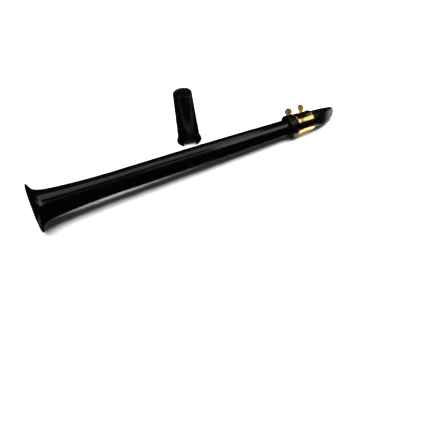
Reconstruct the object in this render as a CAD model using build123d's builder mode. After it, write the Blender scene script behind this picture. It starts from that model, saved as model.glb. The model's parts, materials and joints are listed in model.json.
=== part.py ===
"""Small straight reed horn: moulded tube with a bell, mouthpiece, reed, two-screw ligature and cap."""
from math import atan2, cos, degrees, radians, sin
import os

from build123d import *

os.makedirs("parts", exist_ok=True)

# Driving dimensions in millimetres. Distances along the horn are measured from the plane of the bell's rim.
bell_radius = 31.0
tube_length = 349.5
tube_end_radius = 10.9
rim_thickness = 1.7

tenon_length = 17.0
tenon_radius = 7.0
tenon_bore_radius = 5.2
cork_radius = 7.95

stand_bore_radius = 11.6
stand_bore_start = 46.0
stand_bore_length = 36.0

mouthpiece_gap = 0.8
mouthpiece_length = 82.3
collar_length = 11.0
collar_radius = 16.0
shank_radius = 12.4
socket_radius = 8.0
socket_depth = 19.0
throat_radius = 6.6
table_height = 8.8
tip_drop = 2.3
tip_half_width = 6.9
mouthpiece_turn = radians(15)

reed_length = 68.0
reed_gap = 0.05
reed_radius = 12.35
heel_half_width = 6.0
reed_tip_half_width = 6.5

band_start = 12.6
band_length = 25.2
band_thickness = 0.6
waist_outer_radius = 13.3
rear_end_radius = 14.7
front_end_radius = 14.1
split_half_width = 3.1

rear_screw_inset = 2.8
front_screw_inset = 2.0
screw_height = 19.0
shank_screw_radius = 1.5
screw_clearance = 0.06
post_radius = 2.5
post_start = 3.4
post_end = 7.6
foot_length = 8.0
head_radius = 5.2
head_centre = 13.3
head_thickness = 2.0

cap_height = 77.3
cap_top_radius = 12.9
cap_foot_radius = 18.0
cap_wall = 1.5
cap_along = 227.0
cap_behind = 66.7
notch_width = 17.0
notch_height = 11.0
notch_angle = -108.0

# The horn lies on the floor on two places: its bell's rim and the mouthpiece's collar.
collar_start = tube_length + mouthpiece_gap
contact_run = collar_start + collar_length - 1.2
tilt = atan2(bell_radius - collar_radius, contact_run - rim_thickness)
overall_length = collar_start + mouthpiece_length

# The origin is the middle of the whole object's base.
length_on_floor = bell_radius * sin(tilt) + overall_length * cos(tilt)
rim_x = -length_on_floor / 2 + bell_radius * sin(tilt)
horn_y = -(cap_behind + cap_foot_radius - bell_radius) / 2
rim_centre = Vector(rim_x, horn_y, bell_radius * cos(tilt) + rim_thickness * sin(tilt))
along = Vector(cos(tilt), 0, -sin(tilt))
across_up = Vector(sin(tilt), 0, cos(tilt))
behind = Vector(0, 1, 0)

horn_axis = Axis(rim_centre, along)
mouthpiece_origin = rim_centre + along * collar_start

# The mouthpiece is turned on its cork, so its reed faces back and a little down and its screws lean back.
reed_side = behind * cos(mouthpiece_turn) - across_up * sin(mouthpiece_turn)
screw_up = across_up * cos(mouthpiece_turn) + behind * sin(mouthpiece_turn)

# Side views: x runs along the horn, y goes up. Plan views: x runs along the horn, y goes to the reed's side.
tube_plan = Plane(origin=rim_centre, x_dir=along, z_dir=across_up)
mouthpiece_side = Plane(origin=mouthpiece_origin, x_dir=along, z_dir=reed_side * -1)
mouthpiece_plan = Plane(origin=mouthpiece_origin, x_dir=along, z_dir=screw_up)


def cross_section(distance):
    """Plane across the horn, facing the mouthpiece's tip, with its y axis up."""
    return Plane(origin=rim_centre + along * distance, x_dir=behind * -1, z_dir=along)


def finish(part, name):
    part.label = name
    export_step(part, f"parts/{name}.step")


# ---- finger holes: eight in two groups of four, larger towards the bell, and one for the thumb opposite
first_hole = 118.0
hole_spacing = 23.5
group_gap = 9.0
largest_hole_radius = 4.8
hole_shrink = 0.17
thumb_hole_radius = 3.6
dish_depth = 1.1
dish_slope = 0.7
drill_clearance = 3.0
finger_angle = radians(-65)
thumb_angle = radians(115)

barrel_start = 104.0
barrel_start_radius = 14.12
barrel_start_slope = -0.003
barrel_bend = ((tube_end_radius - barrel_start_radius) / (tube_length - barrel_start) - barrel_start_slope) / (
    tube_length - barrel_start
)


def tube_radius(distance):
    """Outer radius of the long barrel between the flare and the mouthpiece: it tapers more towards its end."""
    run = distance - barrel_start
    return barrel_start_radius + barrel_start_slope * run + barrel_bend * run**2


holes = [(first_hole + hole_spacing * 7.6 + group_gap, thumb_hole_radius, thumb_angle)]
for number in range(8):
    place = first_hole + hole_spacing * number + (group_gap if number > 3 else 0)
    holes.append((place, largest_hole_radius - hole_shrink * number, finger_angle))

with BuildPart() as drills:
    for place, radius, angle in holes:
        foot = rim_centre + along * place
        outward = behind * -cos(angle) + across_up * sin(angle)
        dish_start = tube_radius(place) - dish_depth
        drill_end = tube_radius(place) + drill_clearance
        with BuildSketch(Plane(origin=foot, x_dir=outward, z_dir=along.cross(outward))):
            with BuildLine():
                Polyline(
                    (0, 0),
                    (0, radius),
                    (dish_start, radius),
                    (drill_end, radius + (drill_end - dish_start) * dish_slope),
                    (drill_end, 0),
                    (0, 0),
                )
            make_face()
        revolve(axis=Axis(foot, outward))

# ---- body_tube: slightly tapering barrel, flared bell, tenon and conical bore, with the finger holes drilled through
flare_outline = [
    (6.0, 23.2),
    (12.2, 20.1),
    (25.5, 18.0),
    (46.0, 16.3),
    (76.0, 14.8),
]
flare_inner_radius = bell_radius - 1.4
barrel_steps = 6
barrel_outline = []
for step in range(barrel_steps + 1):
    distance = barrel_start + (tube_length - barrel_start) * step / barrel_steps
    barrel_outline.append((distance, tube_radius(distance)))
bore_taper_start = stand_bore_start + stand_bore_length

with BuildPart() as body_tube:
    with BuildSketch(tube_plan):
        with BuildLine():
            Spline(
                (rim_thickness, bell_radius),
                *flare_outline,
                (barrel_start, barrel_start_radius),
                tangents=[(0.30, -1), (1, barrel_start_slope)],
            )
            Polyline(
                *barrel_outline,
                (tube_length, tenon_radius),
                (tube_length + tenon_length, tenon_radius),
                (tube_length + tenon_length, tenon_bore_radius),
                (tube_length - 8, tenon_bore_radius),
                (bore_taper_start, stand_bore_radius),
                (stand_bore_start, stand_bore_radius),
            )
            Spline(
                (stand_bore_start, stand_bore_radius),
                (26.0, 14.6),
                (13.0, 17.4),
                (6.5, 20.6),
                (0.0, flare_inner_radius),
                tangents=[(-1, 0.1), (-0.3, 0.95)],
            )
            ThreePointArc(
                (0.0, flare_inner_radius),
                (rim_thickness * 0.28, bell_radius - 0.42),
                (rim_thickness, bell_radius),
            )
        make_face()
    revolve(axis=horn_axis)
    add(drills.part, mode=Mode.SUBTRACT)

finish(body_tube.part, "body_tube")

# ---- tenon_cork: sleeve that grips inside the mouthpiece
with BuildPart() as tenon_cork:
    with BuildSketch(cross_section(tube_length + 1.0)):
        Circle(cork_radius)
        Circle(tenon_radius, mode=Mode.SUBTRACT)
    extrude(amount=tenon_length - 2.0)
    chamfer(tenon_cork.edges().filter_by(GeomType.CIRCLE).group_by(SortBy.RADIUS)[-1], 0.3)

finish(tenon_cork.part, "tenon_cork")

# ---- mouthpiece: collar, shank, beak, table with its curved lay, socket, throat and window
beak_start = 42.0
beak_height = -shank_radius
tip_height = table_height - tip_drop
lay_start = mouthpiece_length - 24.0
table_start = collar_length + 1.8
tip_rail = 1.3
window_start = 41.0
window_half_width = 5.9
stock_radius = 20.0

with BuildPart() as mouthpiece:
    with BuildSketch(mouthpiece_side):
        with BuildLine():
            Polyline(
                (0, socket_radius),
                (0, collar_radius - 1.2),
            )
            ThreePointArc(
                (0, collar_radius - 1.2),
                (0.35, collar_radius - 0.35),
                (1.2, collar_radius),
            )
            Line((1.2, collar_radius), (collar_length - 1.2, collar_radius))
            ThreePointArc(
                (collar_length - 1.2, collar_radius),
                (collar_length - 0.35, collar_radius - 0.35),
                (collar_length, collar_radius - 1.2),
            )
            Polyline(
                (collar_length, collar_radius - 1.2),
                (collar_length, shank_radius),
                (mouthpiece_length, shank_radius),
                (mouthpiece_length, 0),
                (window_start + 6, 0),
                (window_start + 6, throat_radius),
                (socket_depth, throat_radius),
                (socket_depth, socket_radius),
                (0, socket_radius),
            )
        make_face()
    revolve(axis=horn_axis)
    # Plan view: the beak's slope on one side, the flat table and its lay on the reed's side.
    with BuildSketch(mouthpiece_plan):
        with BuildLine():
            Polyline(
                (-1, -stock_radius),
                (beak_start, -stock_radius),
                (beak_start, beak_height),
            )
            ThreePointArc(
                (beak_start, beak_height),
                ((beak_start + mouthpiece_length) / 2 + 1.0, (beak_height + tip_height) / 2 - 1.4),
                (mouthpiece_length, tip_height - 0.9),
            )
            Line((mouthpiece_length, tip_height - 0.9), (mouthpiece_length, tip_height))
            ThreePointArc(
                (mouthpiece_length, tip_height),
                ((mouthpiece_length + lay_start) / 2, table_height - tip_drop / 4),
                (lay_start, table_height),
            )
            Polyline(
                (lay_start, table_height),
                (table_start, table_height),
                (table_start, stock_radius),
                (-1, stock_radius),
                (-1, -stock_radius),
            )
        make_face()
    extrude(amount=stock_radius, both=True, mode=Mode.INTERSECT)
    # Side view: the beak narrows to a rounded tip.
    with BuildSketch(mouthpiece_side):
        with BuildLine():
            Polyline(
                (mouthpiece_length - 4.5, tip_half_width),
                (beak_start, shank_radius),
                (beak_start, stock_radius),
                (-1, stock_radius),
                (-1, -stock_radius),
                (beak_start, -stock_radius),
                (beak_start, -shank_radius),
                (mouthpiece_length - 4.5, -tip_half_width),
            )
            ThreePointArc(
                (mouthpiece_length - 4.5, -tip_half_width),
                (mouthpiece_length, 0),
                (mouthpiece_length - 4.5, tip_half_width),
            )
        make_face()
    extrude(amount=stock_radius, both=True, mode=Mode.INTERSECT)
    # Window under the reed, down to a sloping baffle.
    with BuildSketch(mouthpiece_plan):
        with BuildLine():
            Polyline(
                (window_start, stock_radius),
                (window_start, -throat_radius),
                (window_start + 6, -throat_radius),
                (mouthpiece_length - tip_rail, tip_height - 0.3),
                (mouthpiece_length - tip_rail, stock_radius),
                (window_start, stock_radius),
            )
        make_face()
    extrude(amount=window_half_width, both=True, mode=Mode.SUBTRACT)

finish(mouthpiece.part, "mouthpiece")

# ---- reed: flat against the table, rounded bark outside, thinning to the tip
reed_tip = mouthpiece_length - 0.4
reed_heel = reed_tip - reed_length
vamp_start = reed_heel + 33.0
reed_base = table_height + reed_gap

with BuildPart() as reed:
    with BuildSketch(mouthpiece_plan):
        with BuildLine():
            Polyline(
                (reed_tip, reed_base + 0.2),
                (reed_tip, reed_base),
                (reed_heel, reed_base),
                (reed_heel, stock_radius),
                (vamp_start, stock_radius),
                (vamp_start, reed_radius),
            )
            ThreePointArc(
                (vamp_start, reed_radius),
                ((vamp_start + reed_tip) / 2 - 2, reed_base + 1.0),
                (reed_tip, reed_base + 0.2),
            )
        make_face()
    extrude(amount=stock_radius, both=True)
    with BuildSketch(mouthpiece_side):
        with BuildLine():
            Polyline(
                (reed_tip - 3.6, reed_tip_half_width),
                (reed_heel, heel_half_width),
                (reed_heel, -heel_half_width),
                (reed_tip - 3.6, -reed_tip_half_width),
            )
            ThreePointArc(
                (reed_tip - 3.6, -reed_tip_half_width),
                (reed_tip, 0),
                (reed_tip - 3.6, reed_tip_half_width),
            )
        make_face()
    extrude(amount=stock_radius, both=True, mode=Mode.INTERSECT)
    with BuildSketch(cross_section(collar_start)):
        Circle(reed_radius)
    extrude(amount=mouthpiece_length, mode=Mode.INTERSECT)

finish(reed.part, "reed")

# ---- ligature_band: rolled sheet, wide at both ends and narrower at its waist, split over the reed
band_end = band_start + band_length
band_outline = [
    (band_start, rear_end_radius),
    (band_start + 5.4, rear_end_radius),
    (band_start + 9.6, waist_outer_radius),
    (band_end - 8.4, waist_outer_radius),
    (band_end - 4.6, front_end_radius),
    (band_end, front_end_radius),
]
screw_places = {
    "rear": (band_start + rear_screw_inset, rear_end_radius),
    "front": (band_end - front_screw_inset, front_end_radius),
}

with BuildPart() as ligature_band:
    with BuildSketch(mouthpiece_side):
        with BuildLine():
            Polyline(
                *band_outline,
                *[(distance, radius - band_thickness) for distance, radius in reversed(band_outline)],
                band_outline[0],
            )
        make_face()
    revolve(axis=horn_axis)
    with BuildSketch(mouthpiece_side):
        with Locations((band_start + band_length / 2, 0)):
            Rectangle(band_length + 2, split_half_width * 2)
    extrude(amount=-stock_radius, mode=Mode.SUBTRACT)

finish(ligature_band.part, "ligature_band")


# ---- screw posts: barrels soldered to the band's ends, with a foot shaped to the band
def make_post(place, band_radius, side, name):
    start = post_start if side > 0 else -post_end
    base = Plane(
        origin=mouthpiece_origin + along * place + screw_up * start,
        x_dir=along,
        z_dir=screw_up,
    )
    with BuildPart() as post:
        with BuildSketch(base):
            with Locations((0, screw_height)):
                Circle(post_radius)
            with Locations((0, screw_height - foot_length / 2)):
                Rectangle(post_radius * 1.5, foot_length)
        extrude(amount=post_end - post_start)
        with BuildSketch(cross_section(collar_start + place - post_radius * 2)):
            Circle(band_radius)
        extrude(amount=post_radius * 4, mode=Mode.SUBTRACT)
        with BuildSketch(base):
            with Locations((0, screw_height)):
                Circle(shank_screw_radius + screw_clearance)
        extrude(amount=post_end - post_start, mode=Mode.SUBTRACT)
    finish(post.part, name)


for where, (place, band_radius) in screw_places.items():
    make_post(place, band_radius, 1, f"{where}_upper_post")
    make_post(place, band_radius, -1, f"{where}_lower_post")


# ---- thumb-screws: round shank, neck and a flat coin head turned to its own angle
def make_screw(place, turn, name):
    middle = mouthpiece_origin + along * place + reed_side * screw_height
    foot = Plane(origin=middle - screw_up * (post_end + 1.2), x_dir=along, z_dir=screw_up)
    neck = Plane(origin=middle + screw_up * (post_end + 0.1), x_dir=along, z_dir=screw_up)
    facing = along * cos(radians(turn)) + reed_side * sin(radians(turn))
    coin = Plane(origin=middle + screw_up * head_centre, x_dir=screw_up, z_dir=facing)
    with BuildPart() as screw:
        with BuildSketch(foot):
            Circle(shank_screw_radius)
        extrude(amount=head_centre - head_radius + 1.5 + post_end + 1.2)
        with BuildSketch(neck):
            Circle(shank_screw_radius + 0.7)
        extrude(amount=head_centre - head_radius - post_end + 0.5)
        with BuildSketch(coin.offset(-head_thickness / 2)):
            Circle(head_radius)
        extrude(amount=head_thickness)
        for side in (1, -1):
            with BuildSketch(coin.offset(side * head_thickness / 2)):
                Circle(head_radius - 0.8)
                Circle(head_radius - 2.6, mode=Mode.SUBTRACT)
            extrude(amount=-side * 0.4, mode=Mode.SUBTRACT)
    finish(screw.part, name)


make_screw(screw_places["rear"][0], -118, "rear_screw")
make_screw(screw_places["front"][0], -160, "front_screw")

# ---- cap: tapered thin shell, recessed top with a raised rim, flared foot with a cut-out for the screws
cap_base = Plane(origin=(rim_x + cap_along, horn_y + cap_behind, 0), x_dir=(1, 0, 0), z_dir=(0, 0, 1))
cap_side = Plane(origin=cap_base.origin, x_dir=(1, 0, 0), z_dir=(0, -1, 0))
waist_radius = 15.5
waist_height = 12.0
rim_width = 1.8
top_recess = 1.2

with BuildPart() as cap:
    with BuildSketch(cap_side):
        with BuildLine():
            Spline(
                (cap_foot_radius, 0),
                (cap_foot_radius - 1.3, 3.5),
                (waist_radius, waist_height),
                tangents=[(-0.25, 1), (-(waist_radius - cap_top_radius) / (cap_height - waist_height), 1)],
            )
            Line((waist_radius, waist_height), (cap_top_radius + 0.03, cap_height - 1))
            ThreePointArc(
                (cap_top_radius + 0.03, cap_height - 1),
                (cap_top_radius - 0.27, cap_height - 0.29),
                (cap_top_radius - 1, cap_height),
            )
            Polyline(
                (cap_top_radius - 1, cap_height),
                (cap_top_radius - rim_width, cap_height),
                (cap_top_radius - rim_width - 0.6, cap_height - top_recess),
                (0, cap_height - top_recess),
                (0, cap_height - top_recess - cap_wall),
                (cap_top_radius - cap_wall, cap_height - top_recess - cap_wall),
                (waist_radius - cap_wall, waist_height),
                (cap_foot_radius - cap_wall - 1.1, 3.5),
                (cap_foot_radius - cap_wall, 0),
                (cap_foot_radius, 0),
            )
        make_face()
    revolve(axis=Axis(cap_base.origin, (0, 0, 1)))
    notch_direction = Vector(cos(radians(notch_angle)), sin(radians(notch_angle)), 0)
    notch_plane = Plane(origin=cap_base.origin, x_dir=notch_direction.cross(Vector(0, 0, 1)), z_dir=notch_direction)
    with BuildSketch(notch_plane):
        with Locations((0, notch_height - notch_width / 2)):
            Circle(notch_width / 2)
        with Locations((0, -stock_radius / 2 + notch_height - notch_width / 2)):
            Rectangle(notch_width, stock_radius)
    extrude(amount=cap_foot_radius + 2, mode=Mode.SUBTRACT)

finish(cap.part, "cap")

print("tilt", degrees(tilt), "overall length", overall_length)
print("rim centre", rim_centre, "mouthpiece origin", mouthpiece_origin)
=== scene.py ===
import json
import math

import bmesh
import bpy
from mathutils import Matrix, Vector


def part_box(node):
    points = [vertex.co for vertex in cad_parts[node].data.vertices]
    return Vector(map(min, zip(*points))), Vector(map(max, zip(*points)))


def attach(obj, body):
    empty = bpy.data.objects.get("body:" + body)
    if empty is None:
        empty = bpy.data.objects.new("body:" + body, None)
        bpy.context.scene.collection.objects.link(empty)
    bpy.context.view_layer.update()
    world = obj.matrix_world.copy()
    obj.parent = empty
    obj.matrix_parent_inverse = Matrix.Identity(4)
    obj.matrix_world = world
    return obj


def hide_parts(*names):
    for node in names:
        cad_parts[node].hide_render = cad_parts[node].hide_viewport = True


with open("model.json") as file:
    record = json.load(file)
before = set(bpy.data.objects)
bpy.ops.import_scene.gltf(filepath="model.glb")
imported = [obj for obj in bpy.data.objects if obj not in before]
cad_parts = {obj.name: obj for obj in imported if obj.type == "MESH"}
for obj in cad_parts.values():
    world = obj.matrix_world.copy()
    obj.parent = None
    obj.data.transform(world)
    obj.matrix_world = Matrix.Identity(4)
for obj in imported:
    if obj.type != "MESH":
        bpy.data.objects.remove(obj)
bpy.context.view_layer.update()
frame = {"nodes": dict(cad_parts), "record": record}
record = frame["record"]
print("frame loaded")

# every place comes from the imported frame
joints = {joint["name"]: joint for joint in record["behaviour"]["joints"]}
mounts = {mount["name"]: mount for mount in record["mounts"]}

along = Vector(joints["mouthpiece_pull"]["axis"]).normalized()   # bell to tip
behind = Vector((0, 1, 0))
acrossUp = along.cross(behind).normalized()
screwUp = Vector(joints["rear_screw_turn"]["axis"]).normalized()
reedSide = screwUp.cross(along).normalized()     # the mouthpiece is turned a little on its cork
pegPoint = Vector(mounts["stand_peg_bore"]["pos_m"])

horn = {
    "pegPointFromRim": 64.0,
    "tubeLength": 349.5,
    "gap": 0.8,
}
rimCentre = pegPoint - along * horn["pegPointFromRim"] / 1000
mouthpieceRear = rimCentre + along * (horn["tubeLength"] + horn["gap"]) / 1000

capLow, capHigh = (Vector(corner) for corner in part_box("cap"))
footLow = Vector(mounts["cap_foot"]["pos_m"])
capBase = Vector((footLow.x, capHigh.y - (capHigh.x - capLow.x) / 2, 0))


def standAt(origin, side, up):
    # local x runs along the horn, y to the given side, z up across it; local units are millimetres
    turn = Matrix((along, side, up)).transposed().to_4x4()
    return Matrix.Translation(origin) @ turn @ Matrix.Scale(0.001, 4)


tubeSpace = standAt(rimCentre, behind, acrossUp)
mouthpieceSpace = standAt(mouthpieceRear, reedSide, screwUp)
capSpace = Matrix.Translation(capBase) @ Matrix.Scale(0.001, 4)


mergeDistance = 0.0000025                            # metres


def addObject(name, verts, faces, space=Matrix.Identity(4)):
    mesh = bpy.data.meshes.new(name)
    mesh.from_pydata([space @ Vector(v) for v in verts], [], faces)
    mesh.update()
    piece = bpy.data.objects.new(name, mesh)
    bpy.context.scene.collection.objects.link(piece)
    return piece


def cleanMesh(piece):
    # closes rings that shrink to the axis, drops slivers and loose edges, then turns every face outwards
    work = bmesh.new()
    work.from_mesh(piece.data)
    bmesh.ops.remove_doubles(work, verts=work.verts, dist=mergeDistance)
    bmesh.ops.dissolve_degenerate(work, edges=work.edges, dist=mergeDistance)
    bmesh.ops.delete(work, geom=[edge for edge in work.edges if not edge.link_faces], context="EDGES")
    bmesh.ops.recalc_face_normals(work, faces=work.faces)
    work.to_mesh(piece.data)
    work.free()


def smoothShade(piece, sharpAngle=35):
    piece.data.shade_smooth()
    piece.data.set_sharp_from_angle(angle=math.radians(sharpAngle))


def turned(name, outline, segments, space, axis="x"):
    # a closed outline of (distance, radius) turned about the local x or z axis
    verts, faces = [], []
    count = len(outline)
    for ring in range(segments):
        angle = 2 * math.pi * ring / segments
        for distance, radius in outline:
            a, b = radius * math.cos(angle), radius * math.sin(angle)
            verts.append((distance, a, b) if axis == "x" else (a, b, distance))
    for ring in range(segments):
        after = (ring + 1) % segments
        for i in range(count):
            j = (i + 1) % count
            faces.append((ring * count + i, ring * count + j, after * count + j, after * count + i))
    piece = addObject(name, verts, faces, space)
    cleanMesh(piece)
    return piece


def loft(name, loops, space):
    # closed loops of equal length joined in order, with a lid at each end
    size = len(loops[0])
    verts = [point for loop in loops for point in loop]
    faces = []
    for row in range(len(loops) - 1):
        for i in range(size):
            j = (i + 1) % size
            faces.append((row * size + i, row * size + j, (row + 1) * size + j, (row + 1) * size + i))
    faces.append(tuple(range(size)))
    faces.append(tuple((len(loops) - 1) * size + i for i in reversed(range(size))))
    piece = addObject(name, verts, faces, space)
    cleanMesh(piece)
    return piece


def flowThrough(points, perSpan=8):
    # a smooth line through given points (centripetal Catmull-Rom)
    path = [Vector(p) for p in points]
    first = path[0] * 2 - path[1]
    last = path[-1] * 2 - path[-2]
    path = [first] + path + [last]
    line = []
    for i in range(1, len(path) - 2):
        a, b, c, d = path[i - 1:i + 3]
        ta = 0.0
        tb = ta + max((b - a).length, 1e-6) ** 0.5
        tc = tb + max((c - b).length, 1e-6) ** 0.5
        td = tc + max((d - c).length, 1e-6) ** 0.5
        for step in range(perSpan):
            t = tb + (tc - tb) * step / perSpan
            ab = a * (tb - t) / (tb - ta) + b * (t - ta) / (tb - ta)
            bc = b * (tc - t) / (tc - tb) + c * (t - tb) / (tc - tb)
            cd = c * (td - t) / (td - tc) + d * (t - tc) / (td - tc)
            abc = ab * (tc - t) / (tc - ta) + bc * (t - ta) / (tc - ta)
            bcd = bc * (td - t) / (td - tb) + cd * (t - tb) / (td - tb)
            line.append(abc * (tc - t) / (tc - tb) + bcd * (t - tb) / (tc - tb))
    line.append(path[-2])
    return [tuple(p) for p in line]


def cornerRound(corner, before, after, radius, steps=4):
    # a rounded corner in an outline, as points from one leg to the other
    corner, before, after = Vector(corner), Vector(before), Vector(after)
    inLeg = corner + (before - corner).normalized() * radius
    outLeg = corner + (after - corner).normalized() * radius
    curve = []
    for step in range(steps + 1):
        t = step / steps
        curve.append(tuple(inLeg * (1 - t) ** 2 + corner * 2 * t * (1 - t) + outLeg * t ** 2))
    return curve


def cutAway(piece, cutters):
    for cutter in cutters:
        cut = piece.modifiers.new("cut", "BOOLEAN")
        cut.operation = "DIFFERENCE"
        cut.solver = "EXACT"
        cut.object = cutter
    applyModifiers(piece)
    cleanMesh(piece)
    for cutter in cutters:
        bpy.data.objects.remove(cutter, do_unlink=True)


def applyModifiers(piece):
    shaped = piece.evaluated_get(bpy.context.evaluated_depsgraph_get())
    mesh = bpy.data.meshes.new_from_object(shaped)
    old = piece.data
    piece.modifiers.clear()
    piece.data = mesh
    mesh.name = piece.name
    bpy.data.meshes.remove(old)


def softenEdges(node, width=0.00022):
    # a CAD piece keeps its mesh and gets small rounded edges from modifiers
    weld = node.modifiers.new("weld", "WELD")
    weld.merge_threshold = 0.00001
    bevel = node.modifiers.new("edges", "BEVEL")
    bevel.width = width
    bevel.segments = 3
    bevel.limit_method = "ANGLE"
    bevel.angle_limit = math.radians(40)
    bevel.harden_normals = False


def newFinish(name):
    material = bpy.data.materials.new(name)
    material.use_nodes = True
    return material


def addNode(material, kind, values=None):
    node = material.node_tree.nodes.new(kind)
    for socket, value in (values or {}).items():
        node.inputs[socket].default_value = value
    return node


def wire(material, source, target):
    material.node_tree.links.new(source, target)


def setShader(material, values):
    # numbers and colours go on the shader's own sockets, anything else is wired in
    shader = material.node_tree.nodes["Principled BSDF"]
    for socket, value in values.items():
        if isinstance(value, bpy.types.NodeSocket):
            wire(material, value, shader.inputs[socket])
        else:
            shader.inputs[socket].default_value = value


def grain(material, scale, detail=4.0, rough=0.55, stretch=(1, 1, 1)):
    # noise in the piece's own space; a small stretch value draws it out along that axis
    place = addNode(material, "ShaderNodeTexCoord").outputs["Object"]
    mapping = addNode(material, "ShaderNodeMapping", {"Scale": stretch})
    texture = addNode(material, "ShaderNodeTexNoise", {"Scale": scale, "Detail": detail, "Roughness": rough})
    wire(material, place, mapping.inputs["Vector"])
    wire(material, mapping.outputs["Vector"], texture.inputs["Vector"])
    return texture.outputs["Fac"]


def spread(material, source, low, high, fromLow=0.3, fromHigh=0.7):
    values = {"From Min": fromLow, "From Max": fromHigh, "To Min": low, "To Max": high}
    span = addNode(material, "ShaderNodeMapRange", values)
    wire(material, source, span.inputs["Value"])
    return span.outputs["Result"]


def colourRamp(material, source, stops):
    ramp = addNode(material, "ShaderNodeValToRGB")
    ends = ramp.color_ramp.elements
    ends[0].position, ends[0].color = stops[0][0], (*stops[0][1], 1)
    ends[1].position, ends[1].color = stops[-1][0], (*stops[-1][1], 1)
    for position, colour in stops[1:-1]:
        ends.new(position).color = (*colour, 1)
    wire(material, source, ramp.inputs["Fac"])
    return ramp.outputs["Color"]


def mixColours(material, amount, first, second):
    blend = addNode(material, "ShaderNodeMix")
    blend.data_type = "RGBA"
    wire(material, amount, blend.inputs[0])
    for socket, value in ((blend.inputs[6], first), (blend.inputs[7], second)):
        if isinstance(value, tuple):
            socket.default_value = (*value, 1)
        else:
            wire(material, value, socket)
    return blend.outputs[2]


def relief(material, height, strength, distance, under=None):
    bump = addNode(material, "ShaderNodeBump", {"Strength": strength, "Distance": distance})
    wire(material, height, bump.inputs["Height"])
    if under:
        wire(material, under, bump.inputs["Normal"])
    return bump.outputs["Normal"]


def blackMoulding(name, look):
    # moulded black plastic: handling haze, faint dust and hair scratches along the piece
    finish = newFinish(name)
    haze = grain(finish, 55, 5)
    dust = spread(finish, grain(finish, 2600, 1, 0.3), 0, look["dust"], 0.70, 0.78)
    scratches = grain(finish, 160, 3, 0.6, (1, 9, 9))
    fineRelief = relief(finish, grain(finish, 900, 3), 0.05, 0.00002)
    setShader(finish, {
        "Base Color": mixColours(finish, dust, look["colour"], (0.12, 0.12, 0.125)),
        "Roughness": spread(finish, haze, look["gloss"] * 0.8, look["gloss"] * 1.35),
        "Normal": relief(finish, scratches, 0.04, 0.00003, fineRelief),
        "IOR": look["ior"],
    })
    return finish


def lacqueredGold(name, look):
    # gold lacquer over brass: drawn grain, darker blush and small tarnish spots
    finish = newFinish(name)
    red, green, blue = look["colour"]
    blush = spread(finish, grain(finish, 120, 4), 0, 1, 0.35, 0.7)
    tarnish = spread(finish, grain(finish, 420, 4, 0.7), 0, look["wear"], 0.60, 0.72)
    warm = mixColours(finish, blush, look["colour"], (red * 0.86, green * 0.78, blue * 0.62))
    drawn = grain(finish, 700, 3, 0.6, (1, 0.12, 0.12))
    setShader(finish, {
        "Base Color": mixColours(finish, tarnish, warm, (0.16, 0.085, 0.03)),
        "Metallic": look["metal"],
        "Roughness": spread(finish, drawn, look["rough"] * 0.7, look["rough"] * 1.5),
        "Normal": relief(finish, drawn, 0.10, 0.00004),
    })
    return finish


def caneFinish(name):
    # river cane: long fibres, pale cut face, glossier mottled bark
    finish = newFinish(name)
    fibres = grain(finish, 520, 4, 0.6, (0.06, 1, 1))
    mottle = spread(finish, grain(finish, 150, 3), 0, 0.5, 0.52, 0.72)
    stops = [(0.30, (0.62, 0.45, 0.19)), (0.55, (0.78, 0.62, 0.32)), (0.75, (0.86, 0.73, 0.44))]
    pale = colourRamp(finish, fibres, stops)
    setShader(finish, {
        "Base Color": mixColours(finish, mottle, pale, (0.50, 0.34, 0.13)),
        "Roughness": spread(finish, fibres, 0.38, 0.58),
        "Normal": relief(finish, fibres, 0.35, 0.00006),
    })
    return finish


def corkFinish(name):
    # fine cork sheet with dark pores
    finish = newFinish(name)
    grains = grain(finish, 900, 5, 0.7)
    pores = spread(finish, grain(finish, 1700, 2), 0, 0.85, 0.62, 0.70)
    stops = [(0.3, (0.36, 0.22, 0.12)), (0.6, (0.58, 0.40, 0.24)), (0.8, (0.68, 0.50, 0.32))]
    body = colourRamp(finish, grains, stops)
    setShader(finish, {
        "Base Color": mixColours(finish, pores, body, (0.14, 0.07, 0.035)),
        "Roughness": 0.82,
        "Normal": relief(finish, grains, 0.6, 0.00012),
    })
    return finish


looks = {
    "tube": {"colour": (0.0009, 0.0009, 0.001), "gloss": 0.09, "dust": 0.05, "ior": 1.48},
    "mouthpiece": {"colour": (0.0012, 0.0012, 0.0013), "gloss": 0.22, "dust": 0.05, "ior": 1.33},
    "cap": {"colour": (0.0012, 0.0012, 0.0013), "gloss": 0.22, "dust": 0.06, "ior": 1.46},
    "band": {"colour": (0.88, 0.63, 0.27), "wear": 0.40, "rough": 0.15, "metal": 1.0},
    "screws": {"colour": (0.82, 0.50, 0.14), "wear": 0.75, "rough": 0.24, "metal": 0.84},
}
glossBlack = blackMoulding("glossBlack", looks["tube"])
mouthpieceBlack = blackMoulding("mouthpieceBlack", looks["mouthpiece"])
capBlack = blackMoulding("capBlack", looks["cap"])
bandGold = lacqueredGold("bandGold", looks["band"])
screwGold = lacqueredGold("screwGold", looks["screws"])
cane = caneFinish("cane")
cork = corkFinish("cork")


def dress(piece, material):
    piece.data.materials.clear()
    piece.data.materials.append(material)


print("finishes ready")

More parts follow.
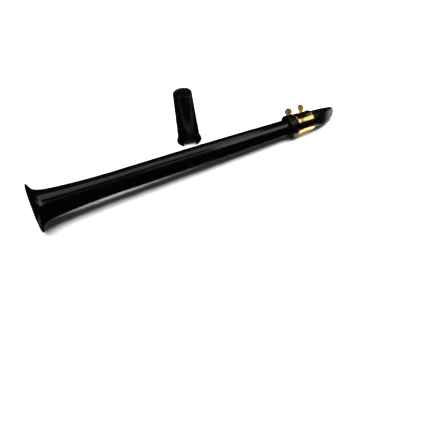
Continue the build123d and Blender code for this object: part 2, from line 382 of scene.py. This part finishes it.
# tube: a turned shell with the flare, rolled rim, tenon and bore, then the finger holes
tube = {
    "segments": 176,
    "rimRadius": 31.0,
    "rimThickness": 1.7,
    "flare": [(1.7, 31.0), (2.5, 28.9), (6.0, 23.2), (12.2, 20.1), (25.5, 18.0), (46.0, 16.3), (76.0, 14.8),
              (104.0, 14.12)],
    "barrelStart": (104.0, 14.12, -0.003),
    "endRadius": 10.9,
    "barrelRings": 72,
    "tenon": (17.0, 7.0, 5.2),
    "pegBore": (46.0, 36.0, 11.6),
    "bellInside": [(46.0, 11.62), (26.0, 14.6), (13.0, 17.4), (6.5, 20.6), (2.2, 25.6), (0.0, 29.6)],
    "shoulderRound": 0.5,
    "tenonRound": 0.4,
    "throatLength": 8,
    "taperRings": 40,
    "barrelGap": 0.6,
    "lipRound": 1.4,
    "lipSteps": 6,
}
fingerHoles = {
    "first": 118.0,
    "spacing": 23.5,
    "groupGap": 9.0,
    "largest": 4.8,
    "shrink": 0.17,
    "thumbRadius": 3.6,
    "thumbPlace": 7.6,
    "fingerAngle": -65,
    "thumbAngle": 115,
    "edgeRound": 1.3,
    "roundSteps": 8,
    "roundSweep": 0.86,
    "count": 8,
    "upperGroup": 3,
}


def barrelRadius(distance):
    start, radius, slope = tube["barrelStart"]
    length = horn["tubeLength"] - start
    bend = ((tube["endRadius"] - radius) / length - slope) / length
    run = distance - start
    return radius + slope * run + bend * run ** 2


def tubeOutline():
    end = horn["tubeLength"]
    tenonLength, tenonRadius, boreRadius = tube["tenon"]
    pegStart, pegLength, pegRadius = tube["pegBore"]
    start = tube["barrelStart"][0]
    outline = flowThrough(tube["flare"], 10)[:-1]
    for ring in range(tube["barrelRings"]):
        distance = start + (end - tube["barrelGap"] - start) * ring / (tube["barrelRings"] - 1)
        outline.append((distance, barrelRadius(distance)))
    shoulder = (end, tube["endRadius"])
    before = (end - 5, barrelRadius(end - 5))
    outline += cornerRound(shoulder, before, (end, tenonRadius), tube["shoulderRound"])
    outline.append((end, tenonRadius))
    tip = end + tenonLength
    outline += cornerRound((tip, tenonRadius), (end, tenonRadius), (tip, boreRadius), tube["tenonRound"])
    outline += cornerRound((tip, boreRadius), (tip, tenonRadius), (end, boreRadius), tube["tenonRound"])
    throatEnd = end - tube["throatLength"]
    outline.append((throatEnd, boreRadius))
    taperStart = pegStart + pegLength
    for ring in range(1, tube["taperRings"]):
        part = ring / tube["taperRings"]
        radius = boreRadius + (pegRadius - boreRadius) * part
        outline.append((throatEnd + (taperStart - throatEnd) * part, radius))
    outline.append((taperStart, pegRadius))
    outline.append((pegStart + pegLength / 2, pegRadius))
    outline += flowThrough(tube["bellInside"], 8)
    rim = tube["rimThickness"]
    for step in range(1, tube["lipSteps"]):        # rolled lip of the bell
        angle = math.pi / 2 * step / tube["lipSteps"]
        radius = tube["rimRadius"] - tube["lipRound"] * (1 - math.sin(angle))
        outline.append((rim * (1 - math.cos(angle)), radius))
    return outline


def holeCutter(place, radius, angle):
    # a drill whose mouth opens in a soft round, as a moulded finger hole has
    surface = barrelRadius(place)
    profile = [(0, 0.001), (0, radius)]
    softness = fingerHoles["edgeRound"]
    steps = fingerHoles["roundSteps"]
    for step in range(steps + 1):
        turn = math.pi / 2 * step / steps * fingerHoles["roundSweep"]
        wider = radius + softness * (1 - math.cos(turn))
        profile.append((surface - softness + softness * 1.15 * math.sin(turn), wider))
    profile.append((surface + 4, radius + softness * 2.4))
    profile.append((surface + 4, 0.001))
    outward = Vector((0, -math.cos(math.radians(angle)), math.sin(math.radians(angle))))
    side = Vector((1, 0, 0))
    turn = Matrix((side, outward.cross(side), outward)).transposed().to_4x4()
    space = tubeSpace @ Matrix.Translation((place, 0, 0)) @ turn
    return turned("holeCutter", profile, 48, space, axis="z")


def makeTube():
    shell = turned("tubeShell", tubeOutline(), tube["segments"], tubeSpace)
    cutters = []
    for number in range(fingerHoles["count"]):
        place = fingerHoles["first"] + fingerHoles["spacing"] * number
        place += fingerHoles["groupGap"] if number > fingerHoles["upperGroup"] else 0
        radius = fingerHoles["largest"] - fingerHoles["shrink"] * number
        cutters.append(holeCutter(place, radius, fingerHoles["fingerAngle"]))
    thumb = fingerHoles["first"] + fingerHoles["groupGap"]
    thumb += fingerHoles["spacing"] * fingerHoles["thumbPlace"]
    cutters.append(holeCutter(thumb, fingerHoles["thumbRadius"], fingerHoles["thumbAngle"]))
    cutAway(shell, cutters)
    smoothShade(shell, 40)
    dress(shell, glossBlack)
    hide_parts("body_tube")
    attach(shell, "tube")
    return shell


makeTube()
print("tube made")

# mouthpiece: lofted from the collar to the rounded tip, then the socket, throat and window
mouthpiece = {
    "length": 82.3,
    "collar": (11.0, 16.0, 1.2),
    "shank": 12.4,
    "table": 8.8,
    "tableStart": 12.8,
    "layStart": 24.0,
    "tipDrop": 2.3,
    "tipThickness": 0.9,
    "beakStart": 42.0,
    "beakHollow": 1.4,
    "tipHalfWidth": 6.9,
    "tipRound": 4.5,
    "loopPoints": 96,
    "cornerPower": 11,
    "socket": (19.0, 8.0),
    "socketChamfer": 0.5,
    "throat": 6.6,
    "window": (41.0, 5.9, 1.3),
}


def beakLine(distance):
    # height of the sloping beak under the table, a shallow hollow curve
    start, length = mouthpiece["beakStart"], mouthpiece["length"]
    part = (distance - start) / (length - start)
    tip = mouthpiece["table"] - mouthpiece["tipDrop"] - mouthpiece["tipThickness"]
    sag = mouthpiece["beakHollow"] * 4 * part * (1 - part)
    return -mouthpiece["shank"] + (tip + mouthpiece["shank"]) * part - sag


def tableLine(distance):
    start = mouthpiece["length"] - mouthpiece["layStart"]
    part = max(0.0, (distance - start) / mouthpiece["layStart"])
    return mouthpiece["table"] - mouthpiece["tipDrop"] * part ** 2


def halfWidth(distance):
    length, width = mouthpiece["length"], mouthpiece["tipHalfWidth"]
    roundStart = length - mouthpiece["tipRound"]
    if distance > roundStart:
        radius = (width ** 2 + mouthpiece["tipRound"] ** 2) / (2 * mouthpiece["tipRound"])
        return math.sqrt(max(radius ** 2 - (distance - length + radius) ** 2, 0.01))
    part = (distance - mouthpiece["beakStart"]) / (roundStart - mouthpiece["beakStart"])
    return mouthpiece["shank"] + (width - mouthpiece["shank"]) * part


def mouthpieceLoop(distance):
    # a round section, flattened by the table and the beak and narrowed at the sides, with softened corners
    collarLength, collarRadius, collarRound = mouthpiece["collar"]
    count = mouthpiece["loopPoints"]
    if distance <= collarLength:
        edge = min(distance, collarLength - distance)
        radius = collarRadius
        if edge < collarRound:
            radius -= collarRound - math.sqrt(collarRound ** 2 - (collarRound - edge) ** 2)
        if distance == collarLength:
            radius = collarRadius - collarRound
        angles = [2 * math.pi * i / count for i in range(count)]
        return [(distance, radius * math.cos(angle), radius * math.sin(angle)) for angle in angles]
    shank = mouthpiece["shank"]
    high = tableLine(distance) if distance >= mouthpiece["tableStart"] else shank * 1.3
    low = beakLine(distance) if distance > mouthpiece["beakStart"] else -shank * 1.3
    wide = halfWidth(distance) if distance > mouthpiece["beakStart"] else shank * 1.3
    middle = (max(low, -shank) + min(high, shank)) / 2
    boxHigh = (min(high, shank) - max(low, -shank)) / 2
    boxWide = min(wide, shank)
    power = mouthpiece["cornerPower"]
    loop = []
    for i in range(count):
        angle = 2 * math.pi * i / count
        ray = Vector((math.cos(angle) * boxHigh, math.sin(angle) * boxWide))
        limits = []
        # the round stock
        a, b, c = ray.length_squared, 2 * middle * ray.x, middle ** 2 - shank ** 2
        limits.append((-b + math.sqrt(max(b * b - 4 * a * c, 0))) / (2 * a))
        if ray.x > 1e-6:
            limits.append((high - middle) / ray.x)
        if ray.x < -1e-6:
            limits.append((low - middle) / ray.x)
        if abs(ray.y) > 1e-6:
            limits.append(wide / abs(ray.y))
        reach = sum(max(limit, 1e-3) ** -power for limit in limits) ** (-1 / power)
        loop.append((distance, middle + ray.x * reach, ray.y * reach))
    return loop


def makeMouthpiece():
    length = mouthpiece["length"]
    collarLength, _, collarRound = mouthpiece["collar"]
    stations = [collarRound * (1 - math.cos(math.pi / 2 * i / 5)) for i in range(6)]
    stations += [collarLength * i / 8 for i in range(2, 7)]
    stations += [collarLength - near for near in reversed(stations[:6])]
    tableStart, beakStart = mouthpiece["tableStart"], mouthpiece["beakStart"]
    stations += [collarLength + 0.02, collarLength + 0.9, tableStart - 0.02, tableStart]
    stations += [14 + (beakStart - 14) * i / 14 for i in range(15)]
    stations += [beakStart + (length - beakStart) * math.sin(math.pi / 2 * i / 46) for i in range(1, 46)]
    stations.append(length - 0.02)
    body = loft("mouthpieceBody", [mouthpieceLoop(s) for s in stations], mouthpieceSpace)

    depth, socketRadius = mouthpiece["socket"]
    throat = mouthpiece["throat"]
    windowStart, windowHalf, rail = mouthpiece["window"]
    chamfer = mouthpiece["socketChamfer"]
    boreEnd = windowStart + 6
    boreOutline = [(-1, 0.001), (-1, socketRadius + chamfer), (0, socketRadius + chamfer),
                   (chamfer, socketRadius), (depth, socketRadius), (depth + 0.6, throat),
                   (boreEnd - 2, throat), (boreEnd, throat - 1.2), (boreEnd, 0.001)]
    bore = turned("boreCutter", boreOutline, 72, mouthpieceSpace)
    # the window's cutter: a sloping floor with rounded sides
    floorEnd = mouthpiece["table"] - mouthpiece["tipDrop"] - 0.3
    sections = []
    for i in range(19):
        part = i / 18
        distance = windowStart + (length - rail - windowStart) * part
        floorLine = -throat + (floorEnd + throat) * max(0.0, (part - 0.14) / 0.86)
        loop = []
        for k in range(13):
            turn = math.pi * k / 12
            side = -windowHalf * math.copysign(abs(math.cos(turn)) ** 0.35, math.cos(turn))
            loop.append((distance, floorLine + (1 - math.sin(turn) ** 0.35) * 2.0, side))
        loop += [(distance, 16, windowHalf), (distance, 16, -windowHalf)]
        sections.append(loop)
    window = loft("windowCutter", sections, mouthpieceSpace)
    cutAway(body, [bore, window])
    smoothShade(body, 32)
    dress(body, mouthpieceBlack)
    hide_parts("mouthpiece")
    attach(body, "mouthpiece")
    return body


makeMouthpiece()
print("mouthpiece made")

# reed: flat back, rounded bark, long scraped vamp
reedBlade = {
    "tip": 81.9,
    "length": 68.0,
    "base": 8.85,
    "bark": 12.33,
    "vampFrom": 33.0,
    "vampHeight": 2.75,
    "vampCurve": 1.55,
    "tipThickness": 0.2,
    "heelHalf": 6.0,
    "tipHalf": 6.5,
    "tipRound": 3.6,
    "rows": 90,
    "columns": 26,
}


def reedHalf(distance):
    heel = reedBlade["tip"] - reedBlade["length"]
    roundStart = reedBlade["tip"] - reedBlade["tipRound"]
    if distance > roundStart:
        width, depth = reedBlade["tipHalf"], reedBlade["tipRound"]
        radius = (width ** 2 + depth ** 2) / (2 * depth)
        return math.sqrt(max(radius ** 2 - (distance - reedBlade["tip"] + radius) ** 2, 0.04))
    widening = reedBlade["tipHalf"] - reedBlade["heelHalf"]
    return reedBlade["heelHalf"] + widening * (distance - heel) / (roundStart - heel)


def reedTop(distance, side):
    bark = math.sqrt(reedBlade["bark"] ** 2 - side ** 2)
    vampStart = reedBlade["tip"] - reedBlade["length"] + reedBlade["vampFrom"]
    if distance <= vampStart:
        return bark
    part = (distance - vampStart) / (reedBlade["tip"] - vampStart)
    heart = 1 - 0.25 * (side / reedBlade["tipHalf"]) ** 2
    tip = reedBlade["tipThickness"]
    thick = tip + (reedBlade["vampHeight"] - tip) * (1 - part) ** reedBlade["vampCurve"] * heart
    return min(bark, reedBlade["base"] + thick)


def makeReed():
    heel = reedBlade["tip"] - reedBlade["length"]
    columns = reedBlade["columns"]
    loops = []
    for row in range(reedBlade["rows"] + 1):
        part = row / reedBlade["rows"]
        distance = heel + (reedBlade["length"] - 0.02) * (1 - (1 - part) ** 1.25)
        half = reedHalf(distance)
        sides = [half * math.sin(math.pi / 2 * (2 * k / columns - 1)) for k in range(columns + 1)]
        loop = [(distance, reedTop(distance, side), side) for side in sides]
        loop += [(distance, reedBlade["base"], side) for side in reversed(sides)]
        loops.append(loop)
    blade = loft("reedBlade", loops, mouthpieceSpace)
    smoothShade(blade, 40)
    dress(blade, cane)
    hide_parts("reed")
    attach(blade, "reed")
    return blade


makeReed()
print("reed made")

# ligature band: thin sheet, wide at both ends, with rolled edges and a split over the reed
band = {
    "thickness": 0.6,
    "outside": [(12.6, 14.8), (16.4, 14.6), (20.0, 14.25), (23.5, 13.95), (27.0, 13.78), (30.5, 13.8),
                (34.0, 13.98), (37.8, 14.15)],
    "edgeBead": 0.16,
    "beadWidth": 0.9,
    "splitHalf": 3.1,
    "steps": 150,
}


def bandSection():
    # across the sheet: along the outside, then back along the inside
    line = flowThrough([(d, r, 0) for d, r in band["outside"]], 8)
    start, end = line[0][0], line[-1][0]
    outside, inside = [], []
    for distance, radius, _ in line:
        edge = min(distance - start, end - distance)
        bead = 0
        if edge < band["beadWidth"]:
            bead = band["edgeBead"] * math.sin(math.pi * edge / band["beadWidth"])
        outside.append((distance, radius - 0.12 * (edge < 0.05) + bead))
        inside.append((distance, radius - band["thickness"]))
    inside[0] = (start + 0.1, inside[0][1])
    inside[-1] = (end - 0.1, inside[-1][1])
    return outside + inside[::-1]


def makeBand():
    section = bandSection()
    gap = math.asin(band["splitHalf"] / band["outside"][0][1])
    loops = []
    for step in range(band["steps"] + 1):
        angle = gap + (2 * math.pi - 2 * gap) * step / band["steps"]
        # the reed's side is angle 0, along local y
        loops.append([(d, r * math.cos(angle), r * math.sin(angle)) for d, r in section])
    ring = loft("ligatureBand", loops, mouthpieceSpace)
    smoothShade(ring, 50)
    dress(ring, bandGold)
    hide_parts("ligature_band")
    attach(ring, "ligature")
    return ring


makeBand()
print("band made")

# thumb-screws: threaded shank, neck and a coin head with a plain rosette
screws = {
    "height": 19.0,
    "shank": 1.46,
    "threadDepth": 0.2,
    "pitch": 0.7,
    "low": -8.8,
    "high": 8.8,
    "neck": (7.75, 9.6, 2.15),
    "headCentre": 13.3,
    "headRadius": 5.2,
    "headThickness": 2.0,
    "places": {"rear_screw": (15.4, -118), "front_screw": (35.8, -160)},
    "petals": 6,
    "petalReach": (0.34, 0.78),
    "petalHeight": 0.28,
    "sink": (0.30, 0.80),
    "sinkDepth": 0.34,
    "edgeFrom": 0.93,
}


def screwShank(space):
    # threaded rod as a lofted helix of narrow rings
    loops = []
    count = 28
    rows = int((screws["high"] - screws["low"]) / screws["pitch"] * 10)
    for row in range(rows + 1):
        z = screws["low"] + (screws["high"] - screws["low"]) * row / rows
        endTaper = min(1.0, 0.55 + (z - screws["low"]) * 0.6)
        loop = []
        for i in range(count):
            angle = 2 * math.pi * i / count
            phase = (z / screws["pitch"] - i / count) % 1
            ridge = 1 - abs(2 * phase - 1)
            radius = (screws["shank"] - screws["threadDepth"] * (1 - ridge)) * endTaper
            loop.append((radius * math.cos(angle), radius * math.sin(angle), z))
        loops.append(loop)
    return loft("shank", loops, space)


def screwHead(space, turn):
    # a disc standing on edge: reeded rim, raised border and a six-petal rosette on each face
    radius, half = screws["headRadius"], screws["headThickness"] / 2
    spokes, rings = 96, 22
    sinkFrom, sinkTo = screws["sink"]                # parts of the head's radius
    petalFrom, petalTo = screws["petalReach"]
    verts, faces = [], []
    for side in (1, -1):
        for ring in range(rings + 1):
            r = radius * 0.97 * ring / rings
            for spoke in range(spokes):
                angle = 2 * math.pi * spoke / spokes
                near = r / radius
                lift = -screws["sinkDepth"] if sinkFrom < near < sinkTo else 0.0
                edge = min(abs(near - sinkFrom), abs(near - sinkTo))
                lift *= min(1.0, edge / 0.05)
                if petalFrom < near < petalTo:
                    swell = math.sin(math.pi * (near - petalFrom) / (petalTo - petalFrom))
                    lift += screws["petalHeight"] * max(0.0, math.cos(screws["petals"] * angle)) * swell
                if near > screws["edgeFrom"]:
                    lift -= (near - screws["edgeFrom"]) * 3.0
                verts.append((r * math.cos(angle), r * math.sin(angle), side * (half + lift)))
    layer = (rings + 1) * spokes
    for side in range(2):
        for ring in range(rings):
            for spoke in range(spokes):
                after = (spoke + 1) % spokes
                a = side * layer + ring * spokes + spoke
                b = side * layer + ring * spokes + after
                faces.append((a, b, b + spokes, a + spokes))
    # reeded rim between the two faces
    rows = 5
    base = len(verts)
    for row in range(1, rows):
        z = half * 0.85 * (1 - 2 * row / rows)
        for spoke in range(spokes):
            angle = 2 * math.pi * spoke / spokes
            r = radius * (0.985 + 0.015 * math.cos(angle * 32))
            verts.append((r * math.cos(angle), r * math.sin(angle), z))
    rims = [rings * spokes] + [base + row * spokes for row in range(rows - 1)] + [layer + rings * spokes]
    for lower, upper in zip(rims, rims[1:]):
        for spoke in range(spokes):
            after = (spoke + 1) % spokes
            faces.append((lower + spoke, lower + after, upper + after, upper + spoke))
    head = addObject("head", verts, faces)
    work = bmesh.new()
    work.from_mesh(head.data)
    bmesh.ops.remove_doubles(work, verts=work.verts, dist=0.0005)
    work.to_mesh(head.data)
    work.free()
    facing = Vector((math.cos(math.radians(turn)), math.sin(math.radians(turn)), 0))
    up = Vector((0, 0, 1))
    stand = Matrix((up.cross(facing), up, facing)).transposed().to_4x4()
    head.data.transform(space @ Matrix.Translation((0, 0, screws["headCentre"])) @ stand)
    cleanMesh(head)
    return head


def joinPieces(name, parts):
    work = bmesh.new()
    for part in parts:
        work.from_mesh(part.data)
    mesh = bpy.data.meshes.new(name)
    work.to_mesh(mesh)
    work.free()
    for part in parts:
        bpy.data.objects.remove(part, do_unlink=True)
    piece = bpy.data.objects.new(name, mesh)
    bpy.context.scene.collection.objects.link(piece)
    return piece


def makeScrew(node, place, turn):
    space = mouthpieceSpace @ Matrix.Translation((place, screws["height"], 0))
    low, high, wide = screws["neck"]
    neckOutline = [(low, 0.9)] + cornerRound((low, wide), (low, 0.9), (high, wide), 0.3)
    neckOutline += flowThrough([(low + 0.9, wide), (low + 1.3, wide * 0.78), (high, wide * 0.72)], 4)
    neckOutline += [(high + 0.6, wide * 0.6), (high + 0.6, 0.9)]
    neck = turned("neck", neckOutline, 40, space, axis="z")
    piece = joinPieces(node.replace("_", "") + "Piece", [screwShank(space), neck, screwHead(space, turn)])
    smoothShade(piece, 32)
    dress(piece, screwGold)
    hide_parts(node)
    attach(piece, node)


for node, (place, turn) in screws["places"].items():
    makeScrew(node, place, turn)
print("screws made")

# cap: thin tapered shell, recessed top with a bead, flared foot and round-ended cut-out
cap = {
    "height": 77.3,
    "topRadius": 12.9,
    "footRadius": 18.0,
    "wall": 1.5,
    "waist": (15.5, 12.0),
    "rim": 1.8,
    "recess": 1.2,
    "notch": (17.0, 11.0, -108.0),
    "notchFlare": 0.027,
    "segments": 128,
}


def capOutline():
    height, top, foot, wall = cap["height"], cap["topRadius"], cap["footRadius"], cap["wall"]
    waistRadius, waistHeight = cap["waist"]
    outline = [(0.35, foot - 0.05)]
    outline += flowThrough([(0.9, foot - 0.25), (3.5, foot - 1.3), (7.0, waistRadius + 0.4),
                            (waistHeight, waistRadius - 0.01)], 6)
    for i in range(1, 24):
        part = i / 24
        level = waistHeight + (height - 1.2 - waistHeight) * part
        outline.append((level, waistRadius + (top - waistRadius) * part))
    outline += cornerRound((height, top), (height - 6, top), (height, 0), 0.9)
    lip, sunk = top - cap["rim"], height - cap["recess"]
    outline += cornerRound((height, lip), (height, top), (sunk, lip - 0.6), 0.5)
    outline += [(sunk, lip - 1.0), (sunk - 0.12, 4.0), (sunk - 0.14, 0.001)]
    inside = sunk - wall
    outline += [(inside, 0.001), (inside, 5.0)]
    outline += cornerRound((inside, top - wall), (inside, 0), (waistHeight, waistRadius - wall), 1.2)
    waistInside, footInside = waistRadius - wall, foot - wall
    outline += [(waistHeight + (inside - waistHeight) * part, waistInside + (top - waistRadius) * part)
                for part in (0.75, 0.5, 0.25)]
    outline += [(waistHeight, waistInside), (7.0, waistInside + 0.3), (3.5, footInside - 1.15),
                (0.3, footInside - 0.05), (0.0, foot - wall * 0.6), (0.0, foot - 0.5)]
    return outline


def makeCap():
    shell = turned("capShell", capOutline(), cap["segments"], capSpace, axis="z")
    width, height, angle = cap["notch"]
    half = width / 2
    angles = [math.pi * i / 24 for i in range(25)]
    arch = [(half * math.cos(a), height - half + half * math.sin(a)) for a in angles]
    arch += [(-half, -3), (half, -3)]
    outward = Vector((math.cos(math.radians(angle)), math.sin(math.radians(angle)), 0))
    side = outward.cross(Vector((0, 0, 1)))
    turn = Matrix((side, outward, Vector((0, 0, 1)))).transposed().to_4x4()
    loops = []
    for reach in (4.0, 9.0, 14.0, 16.0, 22.0):
        grow = 1 + cap["notchFlare"] * max(0, reach - 14)   # the cut-out opens slightly outwards
        loops.append([(x * grow, reach, z * grow) for x, z in arch])
    cutter = loft("notchCutter", loops, capSpace @ turn)
    cutAway(shell, [cutter])
    smoothShade(shell, 38)
    dress(shell, capBlack)
    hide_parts("cap")
    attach(shell, "cap")
    return shell


makeCap()
print("cap made")

# pieces that stay as they are: posts and cork
for node in ("rear_upper_post", "front_upper_post", "rear_lower_post", "front_lower_post"):
    post = frame["nodes"][node]
    softenEdges(post)
    dress(post, screwGold)
corkSleeve = frame["nodes"]["tenon_cork"]
dress(corkSleeve, cork)
print("posts and cork dressed")

# table, lights and camera
studio = {
    "tableSize": 12.0,
    "tableColour": (0.93, 0.93, 0.93, 1),
    "tableRough": 0.75,
    "mirrorPatch": (-0.26, -0.036, 0.26, -0.013),    # the part of the table that shows in the gloss
    "paintedReflectionCard": (0.143, -0.052, 0.192, 0.012),     # paper under the ligature, lit by the lamps and glowing as well, seen only in the gloss; the glow is a painted reflection
    # glow of the paper under the ligature: a painted reflection, the warm streak along the band's lower side
    "paintedReflectionGlow": 0.35,
    # glow of the table patch: a painted reflection, the pale glint along the horn's lower edge
    "mirrorPaintedGlow": 0.08,
    "paleReach": (0.45, 1.3),                        # away from the object the table stays evenly pale
    "worldLight": 0.06,
    "key": ((0.02, -0.01, 1.3), (0.02, -0.03, 0.0), 2.0, 1.25, 55),
    "horizon": (0.002, 0.002, 0.0022),
    # softboxes seen only in the gloss: height angle from the front, angle across, x range, brightness
    "softboxes": {
        "softboxWide": (101, 38, (-0.27, 0.62), 0.9),
        "softboxFaint": (56, 9, (-0.27, 0.13), 0.2),
        "softboxNarrow": (56, 11, (0.13, 0.42), 0.7),
        "softboxEnd": (62, 40, (0.42, 1.05), 1.6),
        "softboxLeft": (80, 60, (-1.9, -0.8), 1.0),
        "softboxRight": (95, 40, (1.35, 2.1), 0.8),
    },
    "softboxDistance": 1.0,
    "hornLine": (-0.027, 0.02),
}


def plainFinish(name, colour, rough):
    finish = newFinish(name)
    setShader(finish, {"Base Color": colour, "Roughness": rough, "Specular IOR Level": 0.2})
    return finish


def addSheet(name, edges, height):
    left, front, right, back = edges
    corners = [(left, front, height), (right, front, height), (right, back, height), (left, back, height)]
    return addObject(name, corners, [(0, 1, 2, 3)])


def addGlossSheet(name, edges, height, glow, strength):
    # a sheet just above the table that shows only in the gloss; it is lit by the lamps and glows as well,
    # and the glow is a painted reflection
    sheet = addSheet(name, edges, height)
    lit = plainFinish(name + "White", studio["tableColour"], studio["tableRough"])
    setShader(lit, {"Emission Color": glow, "Emission Strength": strength})
    sheet.data.materials.append(lit)
    sheet.visible_camera = sheet.visible_diffuse = sheet.visible_shadow = False


def addTable():
    size = studio["tableSize"]
    top = addSheet("tableTop", (-size, -size, size, size), 0)
    white = plainFinish("tableWhite", studio["tableColour"], studio["tableRough"])
    place = addNode(white, "ShaderNodeTexCoord").outputs["Object"]
    reach = addNode(white, "ShaderNodeVectorMath")
    reach.operation = "LENGTH"
    wire(white, place, reach.inputs[0])
    setShader(white, {
        "Emission Color": (1, 1, 1, 1),
        "Emission Strength": spread(white, reach.outputs["Value"], 0, 1, *studio["paleReach"]),
    })
    top.data.materials.append(white)
    top.visible_glossy = False
    # both gloss sheets glow on top of their lamp light: painted reflections
    addGlossSheet("tableInGloss", studio["mirrorPatch"], 0.0001, (1, 1, 1, 1), studio["mirrorPaintedGlow"])
    addGlossSheet("paintedReflectionCard", studio["paintedReflectionCard"], 0.0002, (1, 0.97, 0.93, 1), studio["paintedReflectionGlow"])


def aim(thing, place, target):
    thing.location = place
    direction = Vector(target) - Vector(place)
    thing.rotation_euler = direction.to_track_quat("-Z", "Y").to_euler()


def addAreaLight(name, place, target, sizeX, sizeY, power):
    data = bpy.data.lights.new(name, "AREA")
    data.shape = "RECTANGLE"
    data.size, data.size_y, data.energy = sizeX, sizeY, power
    light = bpy.data.objects.new(name, data)
    bpy.context.scene.collection.objects.link(light)
    aim(light, place, target)
    return light


def addSoftbox(name, angle, spreadAngle, reach, brightness):
    # stands round the horn's line at a fixed distance and lights nothing, it only shows in the gloss
    distance = studio["softboxDistance"]
    turn = math.radians(angle)
    lineY, lineZ = studio["hornLine"]
    target = Vector(((reach[0] + reach[1]) / 2, lineY, lineZ))
    middle = Vector((target.x, lineY - distance * math.cos(turn), lineZ + distance * math.sin(turn)))
    across = 2 * distance * math.tan(math.radians(spreadAngle / 2))
    length = reach[1] - reach[0]
    power = brightness * math.pi * length * across
    light = addAreaLight(name, middle, target, length, across, power)
    inwards = (target - middle).normalized()
    side = Vector((1, 0, 0))
    light.rotation_euler = Matrix((side, (-inwards).cross(side), -inwards)).transposed().to_euler()
    light.visible_diffuse = light.visible_camera = False


def addWorld():
    world = bpy.data.worlds.new("studioAir")
    world.use_nodes = True
    tree = world.node_tree
    air = tree.nodes["Background"]
    air.inputs["Color"].default_value = (1, 1, 1, 1)
    air.inputs["Strength"].default_value = studio["worldLight"]
    dark = tree.nodes.new("ShaderNodeBackground")
    dark.inputs["Color"].default_value = (*studio["horizon"], 1)
    rays = tree.nodes.new("ShaderNodeLightPath")
    choose = tree.nodes.new("ShaderNodeMixShader")
    tree.links.new(rays.outputs["Is Glossy Ray"], choose.inputs[0])
    tree.links.new(air.outputs[0], choose.inputs[1])
    tree.links.new(dark.outputs[0], choose.inputs[2])
    pale = tree.nodes.new("ShaderNodeBackground")
    pale.inputs["Color"].default_value = (1, 1, 1, 1)
    show = tree.nodes.new("ShaderNodeMixShader")
    tree.links.new(rays.outputs["Is Camera Ray"], show.inputs[0])
    tree.links.new(choose.outputs[0], show.inputs[1])
    tree.links.new(pale.outputs[0], show.inputs[2])
    tree.links.new(show.outputs[0], tree.nodes["World Output"].inputs["Surface"])
    bpy.context.scene.world = world


def addCamera():
    view = {
        "place": (-0.1543, -0.4873, 0.4146),
        "lookAt": (-0.0165, -0.1350, 0.0),
        "roll": -5.89,
        "lens": 37.43,
    }
    data = bpy.data.cameras.new("mainView")
    data.lens, data.sensor_width, data.clip_start = view["lens"], 36, 0.01
    eye = bpy.data.objects.new("mainView", data)
    bpy.context.scene.collection.objects.link(eye)
    direction = (Vector(view["lookAt"]) - Vector(view["place"])).normalized()
    sideways = direction.cross(Vector((0, 0, 1))).normalized()
    upright = sideways.cross(direction)
    roll = math.radians(view["roll"])
    right = sideways * math.cos(roll) + upright * math.sin(roll)
    top = upright * math.cos(roll) - sideways * math.sin(roll)
    turn = Matrix((right, top, -direction)).transposed().to_4x4()
    eye.matrix_world = Matrix.Translation(view["place"]) @ turn
    bpy.context.scene.camera = eye


addTable()
addWorld()
addAreaLight("keyLight", *studio["key"]).visible_glossy = False
for name, box in studio["softboxes"].items():
    addSoftbox(name, *box)
addCamera()
bpy.context.scene.view_settings.view_transform = "Standard"
print("studio ready")
